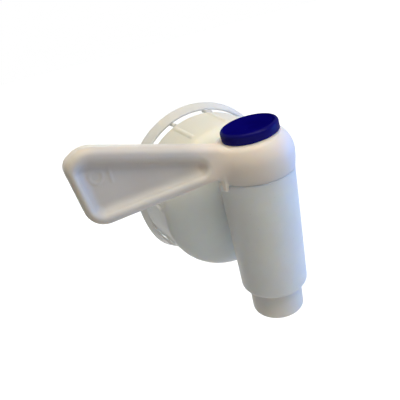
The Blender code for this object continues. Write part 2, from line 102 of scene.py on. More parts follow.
# moulded polyethylene: soft clouding, a fine spark-eroded grain, thin scuffs and a few specks
def makeMouldedSkin():
    group, given, put = newGroup(
        "mouldedSkin", "ShaderNodeTree",
        [("Vector", vectorKind, None), ("Cloud Scale", floatKind, 70.0), ("Grain Scale", floatKind, 2600.0),
         ("Scuff Scale", floatKind, 260.0), ("Gloss Middle", floatKind, 0.4), ("Gloss Spread", floatKind, 0.12),
         ("Scuff Amount", floatKind, 0.5)],
        [("Cloud", floatKind), ("Speck", floatKind), ("Roughness", floatKind), ("Height", floatKind)])
    cloud = addNode(group, "ShaderNodeTexNoise", {"Vector": given["Vector"], "Scale": given["Cloud Scale"],
                                                  "Detail": 3.0, "Roughness": 0.55}).outputs[0]
    grain = addNode(group, "ShaderNodeTexNoise", {"Vector": given["Vector"], "Scale": given["Grain Scale"],
                                                  "Detail": 2.0, "Roughness": 0.6}).outputs[0]
    # scuffs: thin level lines of a stretched noise, only where a second noise lets them
    tilted = addNode(group, "ShaderNodeMapping", {"Vector": given["Vector"], "Rotation": (0.4, 0.9, 0.3),
                                                  "Scale": (1.0, 0.16, 0.4)}).outputs[0]
    lines = addNode(group, "ShaderNodeTexNoise", {"Vector": tilted, "Scale": given["Scuff Scale"],
                                                  "Detail": 1.0}).outputs[0]
    thin = easeBetween(group, maths(group, "ABSOLUTE", maths(group, "SUBTRACT", lines, 0.5)), 0.004, 0.02, 1.0, 0.0)
    patch = easeBetween(group, addNode(group, "ShaderNodeTexNoise", {"Vector": given["Vector"], "Scale": 110.0,
                                                                     "Detail": 2.0}).outputs[0], 0.52, 0.68)
    scuff = maths(group, "MULTIPLY", maths(group, "MULTIPLY", thin, patch), given["Scuff Amount"])
    dots = addNode(group, "ShaderNodeTexVoronoi", {"Vector": given["Vector"], "Scale": 310.0}).outputs[0]
    speck = easeBetween(group, dots, 0.02, 0.07, 1.0, 0.0)
    shift = maths(group, "MULTIPLY", maths(group, "SUBTRACT", cloud, 0.5), given["Gloss Spread"])
    rough = maths(group, "ADD", maths(group, "ADD", given["Gloss Middle"], shift),
                  maths(group, "MULTIPLY", scuff, 0.22))
    group.links.new(cloud, put["Cloud"])
    group.links.new(speck, put["Speck"])
    group.links.new(maths(group, "ADD", rough, maths(group, "MULTIPLY", grain, 0.05)), put["Roughness"])
    height = maths(group, "SUBTRACT", grain, maths(group, "MULTIPLY", scuff, 0.8))
    group.links.new(height, put["Height"])
    return group


mouldedSkin = makeMouldedSkin()
tintSpans = {"hubSide": (0.001, 0.010), "hubEdge": (0.013, 0.026), "capHeight": (0.004, 0.026),
             "buttonRim": (0.0084, 0.0092), "cloud": (0.3, 0.7)}  # metres, but for the cloud


# a material with the moulded skin's roughness and bump
def startSkin(name, values, strength, grainDepth):
    material = bpy.data.materials.new(name)
    material.use_nodes = True
    tree = material.node_tree
    shader = tree.nodes["Principled BSDF"]
    place = addNode(tree, "ShaderNodeTexCoord").outputs["Object"]
    skin = addNode(tree, "ShaderNodeGroup", {"Vector": place, **values}, node_tree=mouldedSkin).outputs
    bump = addNode(tree, "ShaderNodeBump", {"Height": skin["Height"], "Strength": strength,
                                            "Distance": grainDepth * mm}).outputs[0]
    tree.links.new(skin["Roughness"], shader.inputs["Roughness"])
    tree.links.new(bump, shader.inputs["Normal"])
    return material, tree, shader, place, skin


# milky plastic: two tints drift into each other, specks darken a little, and optional tints paint light on the hub and
# the cap's top
def makeMilky(name, light, deep, glowDepth, gloss, grainDepth, cloudScale=70.0, specular=0.3,
              thick=None, paintedWindowLight=None, upper=None):
    material, tree, shader, place, skin = startSkin(
        name, {"Cloud Scale": cloudScale, "Gloss Middle": gloss}, 0.35, grainDepth)
    tint = mixColours(tree, easeBetween(tree, skin["Cloud"], *tintSpans["cloud"]), deep, light)
    if thick:  # painted light: the thick tint paints warm top light on the hub, fading to painted cool window light on its right side
        across = addNode(tree, "ShaderNodeSeparateXYZ", {0: place}).outputs[0]
        paintedHubLight = mixColours(tree, easeBetween(tree, across, *tintSpans["hubSide"]), thick, paintedWindowLight)
        away = awayFromBarrel(tree, place)
        tint = mixColours(tree, easeBetween(tree, away, *tintSpans["hubEdge"]), paintedHubLight, tint)
    if upper:  # painted light: the top of the cap is tinted warm, as if lit by the warm lamp above
        height = addNode(tree, "ShaderNodeSeparateXYZ", {0: place}).outputs[2]
        tint = mixColours(tree, easeBetween(tree, height, *tintSpans["capHeight"]), tint, upper)
    dusted = mixColours(tree, maths(tree, "MULTIPLY", skin["Speck"], 0.25), tint, (0.42, 0.39, 0.33))
    tree.links.new(dusted, shader.inputs["Base Color"])
    shader.inputs["Subsurface Weight"].default_value = 1.0
    shader.inputs["Subsurface Radius"].default_value = (1.0, 0.86, 0.68)
    shader.inputs["Subsurface Scale"].default_value = glowDepth * mm
    shader.inputs["Specular IOR Level"].default_value = specular
    return material


# the hub's thick tint is painted warm top light, and its right side gets painted cool window light
leverPlastic = makeMilky("leverPlastic", (0.73, 0.69, 0.635), (0.70, 0.655, 0.60), 2.5, 0.36, 0.05, specular=0.4,
                         thick=(0.89, 0.81, 0.745), paintedWindowLight=(0.85, 0.855, 0.98))
bodyPlastic = makeMilky("bodyPlastic", (0.88, 0.91, 0.92), (0.85, 0.87, 0.87), 3.0, 0.36, 0.05)
spoolPlastic = makeMilky("spoolPlastic", (0.89, 0.88, 0.86), (0.86, 0.84, 0.81), 2.5, 0.42, 0.06)
# the upper tint is painted warm light on the cap's top
capPlastic = makeMilky("capPlastic", (0.86, 0.91, 0.92), (0.83, 0.87, 0.87), 4.0, 0.36, 0.04, cloudScale=48.0,
                       upper=(0.98, 0.90, 0.80))
bandPlastic = makeMilky("bandPlastic", (0.88, 0.865, 0.845), (0.82, 0.80, 0.77), 4.0, 0.3, 0.04, cloudScale=55.0)
clipPlastic = makeMilky("clipPlastic", (0.86, 0.86, 0.85), (0.82, 0.82, 0.81), 1.5, 0.35, 0.04)


# dark blue button: a dull face with fine hairlines where fingers rub it, the rim and wall shine a little
def makeButtonBlue():
    values = {"Cloud Scale": 120.0, "Scuff Scale": 420.0, "Gloss Middle": 0.22, "Scuff Amount": 1.0}
    material, tree, shader, place, skin = startSkin("buttonBlue", values, 0.25, 0.03)
    cloud = easeBetween(tree, skin["Cloud"], *tintSpans["cloud"])
    tint = mixColours(tree, cloud, (0.002, 0.001, 0.13), (0.003, 0.002, 0.17))
    dusted = mixColours(tree, maths(tree, "MULTIPLY", skin["Speck"], 0.3), tint, (0.05, 0.05, 0.2))
    tree.links.new(dusted, shader.inputs["Base Color"])
    shine = easeBetween(tree, awayFromBarrel(tree, place), *tintSpans["buttonRim"], 0.0, 0.13)
    tree.links.new(shine, shader.inputs["Coat Weight"])
    shader.inputs["Coat Roughness"].default_value = 0.2
    shader.inputs["Specular IOR Level"].default_value = 0.0
    return material


buttonBlue = makeButtonBlue()


# gasket foam, rubber and steel
def makePlainSkin(name, light, dark, roughness, scale, grainDepth, metal=0.0):
    values = {"Cloud Scale": scale, "Gloss Middle": roughness, "Gloss Spread": 0.2}
    material, tree, shader, _, skin = startSkin(name, values, 0.5, grainDepth)
    tree.links.new(mixColours(tree, skin["Cloud"], dark, light), shader.inputs["Base Color"])
    shader.inputs["Metallic"].default_value = metal
    return material


gasketFoam = makePlainSkin("gasketFoam", (0.78, 0.77, 0.72), (0.66, 0.65, 0.60), 0.75, 900.0, 0.12)
sealRubber = makePlainSkin("sealRubber", (0.03, 0.03, 0.03), (0.012, 0.012, 0.012), 0.5, 400.0, 0.04)
screwSteel = makePlainSkin("screwSteel", (0.62, 0.62, 0.63), (0.45, 0.45, 0.46), 0.3, 700.0, 0.02, 1.0)
print("materials made")


# outline corners are (radius, height, rounding)
def softOutline(corners, closed=True, arcSteps=6):
    points = []
    count = len(corners)
    for i, (r, z, rounding) in enumerate(corners):
        here = Vector((r, z))
        ends = not closed and i in (0, count - 1)
        if ends or rounding <= 0:
            points.append((r, z))
            continue
        before = (Vector(corners[i - 1][:2]) - here).normalized()
        after = (Vector(corners[(i + 1) % count][:2]) - here).normalized()
        half = before.angle(after) / 2
        reach = rounding / math.tan(half)
        start, end = here + before * reach, here + after * reach
        middle = here + (before + after).normalized() * (rounding / math.sin(half))
        first = math.atan2(*(start - middle).yx)
        turn = math.atan2(*(end - middle).yx) - first
        turn = (turn + math.pi) % math.tau - math.pi
        for k in range(arcSteps + 1):
            angle = first + turn * k / arcSteps
            points.append((middle.x + rounding * math.cos(angle), middle.y + rounding * math.sin(angle)))
    return points


def evenOut(points, longest, closed=True):
    result = []
    pairs = zip(points, points[1:] + points[:1]) if closed else zip(points, points[1:])
    for (r0, z0), (r1, z1) in pairs:
        parts = max(1, math.ceil(math.hypot(r1 - r0, z1 - z0) / longest))
        result += [(r0 + (r1 - r0) * k / parts, z0 + (z1 - z0) * k / parts) for k in range(parts)]
    return result if closed else result + [points[-1]]


def meshPiece(name, points, faces):
    mesh = bpy.data.meshes.new(name)
    mesh.from_pydata(points, [], faces)
    bm = bmesh.new()
    bm.from_mesh(mesh)
    bmesh.ops.recalc_face_normals(bm, faces=bm.faces)
    bm.to_mesh(mesh)
    bm.free()
    piece = bpy.data.objects.new(name, mesh)
    scene.collection.objects.link(piece)
    return piece


# turns an outline about the axis; a corner on the axis becomes one pole
def turnedPiece(name, outline, steps, closed=True, angle=math.tau, start=0.0):
    full = angle >= math.tau
    turns = steps if full else steps + 1
    points, rows = [], []
    for r, z in outline:
        if r == 0:
            rows.append([len(points)] * turns)
            points.append((0, 0, z))
            continue
        rows.append(list(range(len(points), len(points) + turns)))
        points += [(r * math.cos(start + angle * k / steps), r * math.sin(start + angle * k / steps), z)
                   for k in range(turns)]
    faces = []
    for one, two in list(zip(rows, rows[1:])) + ([(rows[-1], rows[0])] if closed else []):
        for k in range(steps):
            after = (k + 1) % turns
            faces.append(tuple(dict.fromkeys((one[k], one[after], two[after], two[k]))))
    if not full:
        faces += [tuple(row[0] for row in rows), tuple(row[-1] for row in rows)]
    return meshPiece(name, points, faces)


def bakeModifiers(piece):
    graph = bpy.context.evaluated_depsgraph_get()
    baked = bpy.data.meshes.new_from_object(piece.evaluated_get(graph), depsgraph=graph)
    piece.modifiers.clear()
    piece.data = baked


# copies made real, then dressed
def endTree(tree, shape, given, put):
    real = addNode(tree, "GeometryNodeRealizeInstances", {0: shape}).outputs[0]
    dressed = addNode(tree, "GeometryNodeSetMaterial", {"Geometry": real, "Material": given["Material"]}).outputs[0]
    tree.links.new(dressed, put["Geometry"])
    return tree


def runNodes(piece, tree, values):
    step = piece.modifiers.new(tree.name, "NODES")
    step.node_group = tree
    for item in tree.interface.items_tree:
        if item.item_type == "SOCKET" and item.in_out == "INPUT" and item.name in values:
            step[item.identifier] = values[item.name]
    bakeModifiers(piece)


def settle(piece, place, body, nodes=(), material=None, sharpAngle=40):
    piece.data.transform(place)
    if material:
        piece.data.materials.clear()
        piece.data.materials.append(material)
    piece.data.shade_smooth()
    if sharpAngle:
        piece.data.set_sharp_from_angle(angle=math.radians(sharpAngle))
    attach(piece, body)
    if nodes:
        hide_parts(*nodes)


# distance fields for the moulded pieces that blend into each other
def softMin(a, b, blend):
    overlap = np.maximum(blend - np.abs(a - b), 0) / blend
    return np.minimum(a, b) - overlap * overlap * blend / 4


def roundMax(a, b, radius):
    return np.minimum(np.maximum(a, b), -radius) + np.hypot(np.maximum(a + radius, 0), np.maximum(b + radius, 0))


def roundMin(a, b, radius):
    return -roundMax(-a, -b, radius)


# round corner between two sides that aren't square to each other; slant is the cosine between their normals
def roundCorner(a, b, radius, slant):
    a1, b1 = a + radius, b + radius
    arc = np.sqrt(np.maximum(a1 * a1 + b1 * b1 - 2 * a1 * b1 * slant, 0) / (1 - slant * slant)) - radius
    return np.where((a1 > b1 * slant) & (b1 > a1 * slant), arc, np.maximum(a, b))


def blockField(x, y, z, half, rounding):
    gaps = [np.abs(p) - h + rounding for p, h in zip((x, y, z), half)]
    outside = np.sqrt(sum(np.maximum(g, 0) ** 2 for g in gaps))
    return outside + np.minimum(np.maximum(np.maximum(gaps[0], gaps[1]), gaps[2]), 0) - rounding


def pieceFromField(name, field, low, high, cell):
    axes = [np.arange(a, b + cell, cell) for a, b in zip(low, high)]
    value = field(*np.meshgrid(*axes, indexing="ij")).astype(np.float32)
    inside = value < 0
    cells = tuple(n - 1 for n in value.shape)
    total, weight = np.zeros(cells + (3,), np.float32), np.zeros(cells, np.float32)
    corners = [(i, j, k) for i in (0, 1) for j in (0, 1) for k in (0, 1)]

    def corner(array, offset):
        return array[tuple(slice(o, o + n) for o, n in zip(offset, cells))]

    for a in corners:
        for axis in range(3):
            if a[axis]:
                continue
            b = tuple(1 if k == axis else a[k] for k in range(3))
            va, vb = corner(value, a), corner(value, b)
            crossed = (va < 0) != (vb < 0)
            share = np.where(crossed, va / np.where(crossed, va - vb, 1), 0)
            for k in range(3):
                total[..., k] += crossed * (a[k] + (share if k == axis else 0))
            weight += crossed
    mixed = weight > 0
    number = np.full(cells, -1, np.int64)
    number[mixed] = np.arange(mixed.sum())
    base = np.stack(np.nonzero(mixed), axis=1)
    points = np.array(low) + cell * (base + total[mixed] / weight[mixed][:, None])
    faces = []
    for axis in range(3):
        one, two = [k for k in range(3) if k != axis]
        first = tuple(slice(0, -1) if k == axis else slice(1, -1) for k in range(3))
        second = tuple(slice(1, None) if k == axis else slice(1, -1) for k in range(3))
        changed = inside[first] != inside[second]
        at = np.stack(np.nonzero(changed), axis=1)
        at[:, one] += 1
        at[:, two] += 1
        outward = inside[first][changed] != (axis == 1)
        quad = []
        for stepOne, stepTwo in ((-1, -1), (0, -1), (0, 0), (-1, 0)):
            spot = at.copy()
            spot[:, one] += stepOne
            spot[:, two] += stepTwo
            quad.append(number[tuple(spot.T)])
        quad = np.stack(quad, axis=1)
        quad[~outward] = quad[~outward][:, ::-1]
        faces.append(quad)
    faces = np.concatenate(faces)
    # pull every corner onto the true surface
    small, flattest, farthest = 0.02, 0.2, 0.4 * cell
    for _ in range(4):
        here = field(*points.T)
        slope = np.stack([(field(*(points + shift).T) - field(*(points - shift).T)) / (2 * small)
                          for shift in np.eye(3) * small], axis=1)
        pull = here[:, None] * slope / np.maximum((slope ** 2).sum(axis=1), flattest)[:, None]
        points = points - np.clip(pull, -farthest, farthest)
    print(name, "has", len(faces) * 2, "triangles")
    return meshPiece(name, points.tolist(), faces.tolist())


# screw cap: a turned shell, whose grip ribs are raised by nodes
capSize = {
    "skirtRear": 31.0, "skirtFront": 29.6, "rearDepth": 15.4, "frontDepth": -4.5, "wall": 1.6, "edge": 0.45,
    "domeHeight": 8.5, "domeSteps": 40, "hole": 8.3, "innerDome": 27.6, "innerDomeDepth": -2.5, "innerSteps": 12,
    "bossRadius": 13.0, "bossFace": -9.4, "seatDepth": -2.3, "seatInner": 22.0, "seatOuter": 28.15, "innerEdge": 0.3,
    "ribCount": 12, "firstRib": 20.0,  # degrees from the top towards the lever
    "ribWidth": 2.2, "ribHeight": 0.55, "ribInset": 1.4, "ribFlank": 0.7,
    "threadRadius": 28.75, "threadBead": 1.0, "threadPitch": 5.2, "threadTurns": 1.6, "threadStart": 4.5,
    "spacing": 0.6, "steps": 450,
}


def makeGripRibs():
    tree, given, put = newGroup(
        "gripRibs", "GeometryNodeTree",
        [("Geometry", shapeKind, None), ("Count", wholeKind, 12), ("First Angle", floatKind, 0.0),
         ("Width", floatKind, 2.4), ("Height", floatKind, 0.7), ("Flank", floatKind, 0.5), ("From", floatKind, 0.0),
         ("To", floatKind, 10.0), ("Front Radius", floatKind, 29.6), ("Draft", floatKind, 0.066),
         ("Front Depth", floatKind, -4.5), ("Wall", floatKind, 1.6), ("Material", materialKind, None)],
        [("Geometry", shapeKind)])
    where = addNode(tree, "ShaderNodeSeparateXYZ", {0: addNode(tree, "GeometryNodeInputPosition").outputs[0]}).outputs
    radius = maths(tree, "SQRT", maths(tree, "ADD", maths(tree, "MULTIPLY", where[0], where[0]),
                                       maths(tree, "MULTIPLY", where[1], where[1])))
    around = maths(tree, "SUBTRACT", maths(tree, "ARCTAN2", where[1], where[0]), given["First Angle"])
    halfStep = maths(tree, "DIVIDE", math.pi, given["Count"])
    nearest = maths(tree, "WRAP", around, halfStep, maths(tree, "MULTIPLY", halfStep, -1.0))
    across = maths(tree, "MULTIPLY", maths(tree, "ABSOLUTE", nearest), radius)
    halfWidth = maths(tree, "MULTIPLY", given["Width"], 0.5)
    raised = easeBetween(tree, across, maths(tree, "SUBTRACT", halfWidth, given["Flank"]), halfWidth, 1.0, 0.0)
    rise = easeBetween(tree, where[2], given["From"], maths(tree, "ADD", given["From"], given["Flank"]))
    fall = easeBetween(tree, where[2], maths(tree, "SUBTRACT", given["To"], given["Flank"]), given["To"], 1.0, 0.0)
    outside = maths(tree, "ADD", given["Front Radius"], maths(tree, "MULTIPLY", given["Draft"],
                                                             maths(tree, "SUBTRACT", where[2], given["Front Depth"])))
    skin = maths(tree, "GREATER_THAN", radius, maths(tree, "SUBTRACT", outside,
                                                     maths(tree, "MULTIPLY", given["Wall"], 0.5)))
    lift = maths(tree, "MULTIPLY", maths(tree, "MULTIPLY", raised, skin), maths(tree, "MULTIPLY", rise, fall))
    lift = maths(tree, "MULTIPLY", lift, given["Height"])
    flat = addNode(tree, "ShaderNodeCombineXYZ", {0: where[0], 1: where[1], 2: 0.0}).outputs[0]
    outward = addNode(tree, "ShaderNodeVectorMath", {0: flat}, operation="NORMALIZE").outputs[0]
    offset = addNode(tree, "ShaderNodeVectorMath", {0: outward, "Scale": lift}, operation="SCALE").outputs[0]
    moved = addNode(tree, "GeometryNodeSetPosition", {"Geometry": given["Geometry"], "Offset": offset}).outputs[0]
    return endTree(tree, moved, given, put)


def makeScrewCap():
    s = capSize
    ends = math.acos(s["hole"] / s["skirtFront"])
    angles = [ends * k / s["domeSteps"] for k in range(s["domeSteps"] + 1)]
    dome = [(s["skirtFront"] * math.cos(a), s["frontDepth"] - s["domeHeight"] * math.sin(a)) for a in angles]
    innerRadii = np.linspace(s["bossRadius"], s["seatInner"], s["innerSteps"])
    inner = [(r, s["innerDomeDepth"] - s["domeHeight"] * math.sqrt(1 - (r / s["innerDome"]) ** 2)) for r in innerRadii]
    rear = softOutline([(s["skirtRear"] - s["wall"], s["rearDepth"], s["edge"]),
                        (s["skirtRear"], s["rearDepth"], s["edge"]),
                        (s["skirtFront"], s["frontDepth"], 0), (s["seatOuter"], s["seatDepth"], s["innerEdge"])])
    cut = next(k for k, p in enumerate(rear) if abs(p[0] - s["skirtFront"]) < 1e-6)
    outer, inward = rear[:cut], rear[cut + 1:]
    hole = softOutline([dome[-1] + (0,), (s["hole"], s["bossFace"], s["innerEdge"]),
                        (s["bossRadius"], s["bossFace"], s["innerEdge"]), inner[0] + (0,)], closed=False)[1:-1]
    outline = outer + dome + hole + inner + [(s["seatInner"], s["seatDepth"])] + inward
    cap = turnedPiece("screwCap", evenOut(outline, s["spacing"]), s["steps"])
    draft = (s["skirtRear"] - s["skirtFront"]) / (s["rearDepth"] - s["frontDepth"])
    runNodes(cap, makeGripRibs(), {
        "Count": s["ribCount"], "First Angle": -math.pi / 2 - math.radians(s["firstRib"]),
        "Width": s["ribWidth"], "Height": s["ribHeight"], "Flank": s["ribFlank"],
        "From": s["frontDepth"] + s["ribInset"], "To": s["rearDepth"] - s["ribInset"],
        "Front Radius": s["skirtFront"], "Draft": draft, "Front Depth": s["frontDepth"], "Wall": s["wall"],
        "Material": capPlastic})
    settle(cap, capPlace, "cap", ["screw_cap"])


def makeNeckThread():
    tree, given, put = newGroup(
        "neckThread", "GeometryNodeTree",
        [("Geometry", shapeKind, None), ("Radius", floatKind, 28.7), ("Bead", floatKind, 1.0),
         ("Pitch", floatKind, 5.2), ("Turns", floatKind, 1.6), ("Start", floatKind, 4.5),
         ("Widen", floatKind, 0.066), ("Material", materialKind, None)],
        [("Geometry", shapeKind)])
    rise = maths(tree, "MULTIPLY", given["Pitch"], given["Turns"])
    widened = maths(tree, "ADD", given["Radius"], maths(tree, "MULTIPLY", rise, given["Widen"]))
    spiral = addNode(tree, "GeometryNodeCurveSpiral", {"Resolution": 160, "Rotations": given["Turns"],
                                                       "Start Radius": given["Radius"], "End Radius": widened,
                                                       "Height": rise}).outputs[0]
    along = addNode(tree, "GeometryNodeSplineParameter").outputs["Factor"]
    # the bead grows from nothing and fades out again
    grow = maths(tree, "MULTIPLY", easeBetween(tree, along, 0.0, 0.05), easeBetween(tree, along, 0.95, 1.0, 1.0, 0.0))
    bead = addNode(tree, "GeometryNodeCurvePrimitiveCircle", {"Resolution": 14, "Radius": given["Bead"]}).outputs[0]
    swept = addNode(tree, "GeometryNodeCurveToMesh", {"Curve": spiral, "Profile Curve": bead, "Fill Caps": True,
                                                      "Scale": maths(tree, "ADD", grow, 0.02)}).outputs[0]
    shift = addNode(tree, "ShaderNodeCombineXYZ", {2: given["Start"]}).outputs[0]
    moved = addNode(tree, "GeometryNodeTransform", {"Geometry": swept, "Translation": shift}).outputs[0]
    endTree(tree, moved, given, put)
    s = capSize
    thread = bpy.data.objects.new("neckThread", bpy.data.meshes.new("neckThread"))
    scene.collection.objects.link(thread)
    runNodes(thread, tree, {"Radius": s["threadRadius"], "Bead": s["threadBead"], "Pitch": s["threadPitch"],
                            "Turns": s["threadTurns"], "Start": s["threadStart"], "Material": capPlastic})
    settle(thread, capPlace, "cap")


makeScrewCap()
makeNeckThread()
print("screw cap made")


# tamper band with its breakable bridges
bandSize = {
    "frontRadius": 32.3, "rearRadius": 34.5, "frontDepth": 17.9, "rearDepth": 23.0, "wall": 1.2, "edge": 0.35,
    "catch": 1.1, "catchPlace": 0.6, "catchEdges": (0.3, 0.25, 0.2), "spacing": 0.7, "steps": 300,
    "bridgeCount": 12, "firstBridge": 18.0,  # degrees from the top towards the lever
    "bridgeNarrow": 1.5, "bridgeWide": 2.6, "bridgeInner": 30.35, "bridgeOuter": 31.75, "bridgeFrom": 15.0,
    "bridgeTo": 18.7, "bridgeWaist": 0.72, "bridgeFlare": 0.56, "bridgeRings": 6, "bridgeSides": 12,
    "dents": ((92.0, 25.0, -1.9), (131.0, 14.0, 0.9)),  # degrees from the top, width in degrees, depth
}


def makeBridgeBlock():
    s = bandSize
    rings, sides = s["bridgeRings"], s["bridgeSides"]
    thick, length = s["bridgeOuter"] - s["bridgeInner"], s["bridgeTo"] - s["bridgeFrom"]
    points, faces = [], []
    for k in range(rings + 1):
        t = k / rings
        waist = s["bridgeWaist"] + s["bridgeFlare"] * (2 * t - 1) ** 2  # flares where it meets skirt and band
        for a in range(sides):
            c, w = math.cos(math.tau * a / sides), math.sin(math.tau * a / sides)
            points.append((thick / 2 * math.copysign(abs(c) ** 0.5, c), 0.5 * waist * math.copysign(abs(w) ** 0.5, w),
                           length * (t - 0.5)))
    for k in range(rings):
        here, above = sides * k, sides * (k + 1)
        faces += [(here + a, here + (a + 1) % sides, above + (a + 1) % sides, above + a) for a in range(sides)]
    faces += [tuple(range(sides)), tuple(range(sides * rings, sides * (rings + 1)))]
    return meshPiece("bridges", points, faces)


def makeBridgeRing():
    tree, given, put = newGroup(
        "bridgeRing", "GeometryNodeTree",
        [("Geometry", shapeKind, None), ("Count", wholeKind, 12), ("First Angle", floatKind, 0.0),
         ("Radius", floatKind, 31.0), ("Depth", floatKind, 17.5), ("Narrow", floatKind, 1.5),
         ("Wide", floatKind, 2.6), ("Material", materialKind, None)],
        [("Geometry", shapeKind)])
    index = addNode(tree, "GeometryNodeInputIndex").outputs[0]
    step = maths(tree, "DIVIDE", math.tau, given["Count"])
    angle = maths(tree, "SUBTRACT", given["First Angle"], maths(tree, "MULTIPLY", index, step))
    right = maths(tree, "MULTIPLY", maths(tree, "COSINE", angle), given["Radius"])
    ahead = maths(tree, "MULTIPLY", maths(tree, "SINE", angle), given["Radius"])
    spot = addNode(tree, "ShaderNodeCombineXYZ", {0: right, 1: ahead, 2: given["Depth"]}).outputs[0]
    points = addNode(tree, "GeometryNodePoints", {"Count": given["Count"], "Position": spot}).outputs[0]
    # every other bridge is a wide one
    odd = maths(tree, "MODULO", index, 2.0)
    extra = maths(tree, "SUBTRACT", given["Wide"], given["Narrow"])
    width = maths(tree, "ADD", given["Narrow"], maths(tree, "MULTIPLY", odd, extra))
    turn = addNode(tree, "ShaderNodeCombineXYZ", {2: angle}).outputs[0]
    size = addNode(tree, "ShaderNodeCombineXYZ", {0: 1.0, 1: width, 2: 1.0}).outputs[0]
    copies = addNode(tree, "GeometryNodeInstanceOnPoints", {"Points": points, "Instance": given["Geometry"],
                                                            "Rotation": turn, "Scale": size}).outputs[0]
    return endTree(tree, copies, given, put)


# the thin band is pressed in below the lever
def pressBand(piece):
    s = bandSize
    for vertex in piece.data.vertices:
        spot = vertex.co
        turn = math.degrees(math.atan2(-spot.x, -spot.y))
        press = sum(depth * math.exp(-((turn - middle) / width) ** 2) for middle, width, depth in s["dents"])
        press *= min(max((spot.z - s["bridgeFrom"]) / (s["frontDepth"] - s["bridgeFrom"]), 0), 1)
        vertex.co = spot + Vector((spot.x, spot.y, 0)).normalized() * press


def makeTamperBand():
    s = bandSize
    catchDepth = s["frontDepth"] + s["catchPlace"] * (s["rearDepth"] - s["frontDepth"])
    catchRadius = s["frontRadius"] + s["catchPlace"] * (s["rearRadius"] - s["frontRadius"]) - s["wall"]
    front, tip, rear = s["catchEdges"]
    outline = softOutline([
        (s["rearRadius"] - s["wall"], s["rearDepth"], s["edge"]), (s["rearRadius"], s["rearDepth"], s["edge"]),
        (s["frontRadius"], s["frontDepth"], s["edge"]), (s["frontRadius"] - s["wall"], s["frontDepth"], s["edge"]),
        (catchRadius, catchDepth - s["catch"], front), (catchRadius - s["catch"], catchDepth, tip),
        (catchRadius, catchDepth + s["catch"] / 2, rear)])
    band = turnedPiece("tamperBand", evenOut(outline, s["spacing"]), s["steps"])
    pressBand(band)
    settle(band, capPlace, "cap", ["tamper_band"], bandPlastic)
    bridges = makeBridgeBlock()
    runNodes(bridges, makeBridgeRing(), {
        "Count": s["bridgeCount"], "First Angle": -math.pi / 2 - math.radians(s["firstBridge"]),
        "Radius": (s["bridgeInner"] + s["bridgeOuter"]) / 2,
        "Depth": (s["bridgeFrom"] + s["bridgeTo"]) / 2, "Narrow": s["bridgeNarrow"], "Wide": s["bridgeWide"],
        "Material": bandPlastic})
    pressBand(bridges)
    settle(bridges, capPlace, "cap")


makeTamperBand()
print("tamper band made")


# gasket behind the dome, clip on the spigot
gasketSize = {"inner": 22.3, "outer": 27.6, "front": -2.0, "rear": 0.0, "edge": 0.35, "spacing": 0.8, "steps": 240}
clipSize = {"inner": 7.3, "outer": 11.5, "front": -9.1, "rear": -7.3, "edge": 0.4, "mouth": 9.5, "spacing": 0.8,
            "steps": 120}


def washerOutline(s):
    corners = ((s["inner"], s["front"]), (s["outer"], s["front"]), (s["outer"], s["rear"]), (s["inner"], s["rear"]))
    return evenOut(softOutline([corner + (s["edge"],) for corner in corners]), s["spacing"])


def makeGasketAndClip():
    gasket = turnedPiece("neckGasket", washerOutline(gasketSize), gasketSize["steps"])
    settle(gasket, capPlace, "cap", ["neck_gasket"], gasketFoam)
    s = clipSize
    half = math.asin(s["mouth"] / (s["inner"] + s["outer"]))
    clip = turnedPiece("retainingClip", washerOutline(s), s["steps"], angle=math.tau - 2 * half,
                       start=math.pi / 2 + half)
    settle(clip, capPlace, "tap", ["retaining_clip"], clipPlastic)


makeGasketAndClip()
print("gasket and clip made")


# barrel and spigot in one moulding
bodySize = {
    "topRadius": 13.25, "endRadius": 12.5, "length": 46.0, "endEdge": 0.9, "topEdge": 0.04, "bore": 10.2, "lip": 3.0,
    "journalHole": 6.8, "holeEdge": 0.3, "spigotRadius": 8.0, "spigotDrop": 17.5, "spigotEnd": 21.2,
    "spigotEdge": 0.5, "spigotFillet": 1.6, "inlet": 4.8, "grooveFrom": 17.1, "grooveTo": 19.5, "grooveRadius": 7.0,
    "lugAngle": 181.0, "lug": (1.1, 1.8, 2.2), "lugDrop": 0.3, "lugEdge": 0.4, "lugBlend": 0.5,
    "cell": 0.36, "sideRoom": 1.5, "endRoom": 1.0,
}


def tapBodyField(x, y, z):
    s = bodySize
    radius = np.hypot(x, y)
    barrel = radius - s["topRadius"] - (s["endRadius"] - s["topRadius"]) * -z / s["length"]
    barrel = roundMax(barrel, z, s["topEdge"])
    barrel = roundMax(barrel, -s["length"] - z, s["endEdge"])
    off = np.hypot(x, z + s["spigotDrop"])
    spigot = roundMax(np.maximum(off - s["spigotRadius"], -y), y - s["spigotEnd"], s["spigotEdge"])
    groove = np.maximum(np.maximum(s["grooveFrom"] - y, y - s["grooveTo"]), s["grooveRadius"] - off)
    spigot = np.maximum(spigot, -groove)
    body = roundMin(barrel, spigot, s["spigotFillet"])
    body = roundMax(body, -np.maximum(radius - s["bore"], z + s["lip"]), s["holeEdge"])
    body = np.maximum(body, s["journalHole"] - radius)
    body = roundMax(body, -np.maximum(off - s["inlet"], -y), s["holeEdge"])
    angle = math.radians(s["lugAngle"])
    out, side = x * math.cos(angle) + y * math.sin(angle), y * math.cos(angle) - x * math.sin(angle)
    proud, width, height = s["lug"]
    lug = blockField(out - s["topRadius"], side, z + s["lugDrop"] + height / 2, (proud, width / 2, height / 2),
                     s["lugEdge"])
    return softMin(body, lug, s["lugBlend"])


def makeTapBody():
    s = bodySize
    side, room = s["topRadius"] + s["sideRoom"], s["endRoom"]
    body = pieceFromField("tapBody", tapBodyField, (-side, -side, -s["length"] - room),
                          (side, s["spigotEnd"] + room, room), s["cell"])
    settle(body, barrelPlace, "tap", ["tap_body"], bodyPlastic, 0)


makeTapBody()
print("tap body made")


